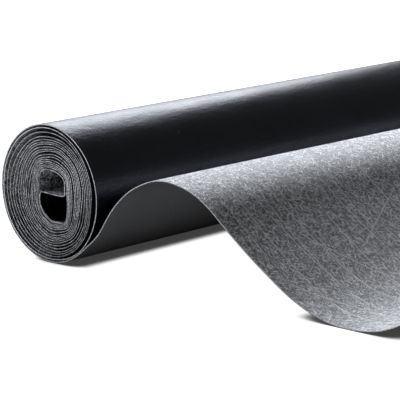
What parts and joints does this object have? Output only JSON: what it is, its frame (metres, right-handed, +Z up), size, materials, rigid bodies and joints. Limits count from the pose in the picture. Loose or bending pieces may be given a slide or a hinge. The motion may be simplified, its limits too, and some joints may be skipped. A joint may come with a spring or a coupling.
{
  "type": "roll of root barrier",
  "caption": "Roll of black root barrier lying on its side, its loose end springing off in an S curve; coated outside, fibrous inside, turns and folded inner end showing.",
  "frame": {"origin": "on the floor, under the middle of the bounding box", "axes": "+Y along the roll, +X towards the loose end of the strip, +Z up"},
  "size_m": [0.4502, 0.7, 0.12],
  "materials": {
    "barrier_sheet": "smooth glossy black film on the outer side, grey-black fleece on the inner side"
  },
  "bodies": {
    "root": {"barrier_roll": "barrier_sheet"}
  },
  "joints": []
}
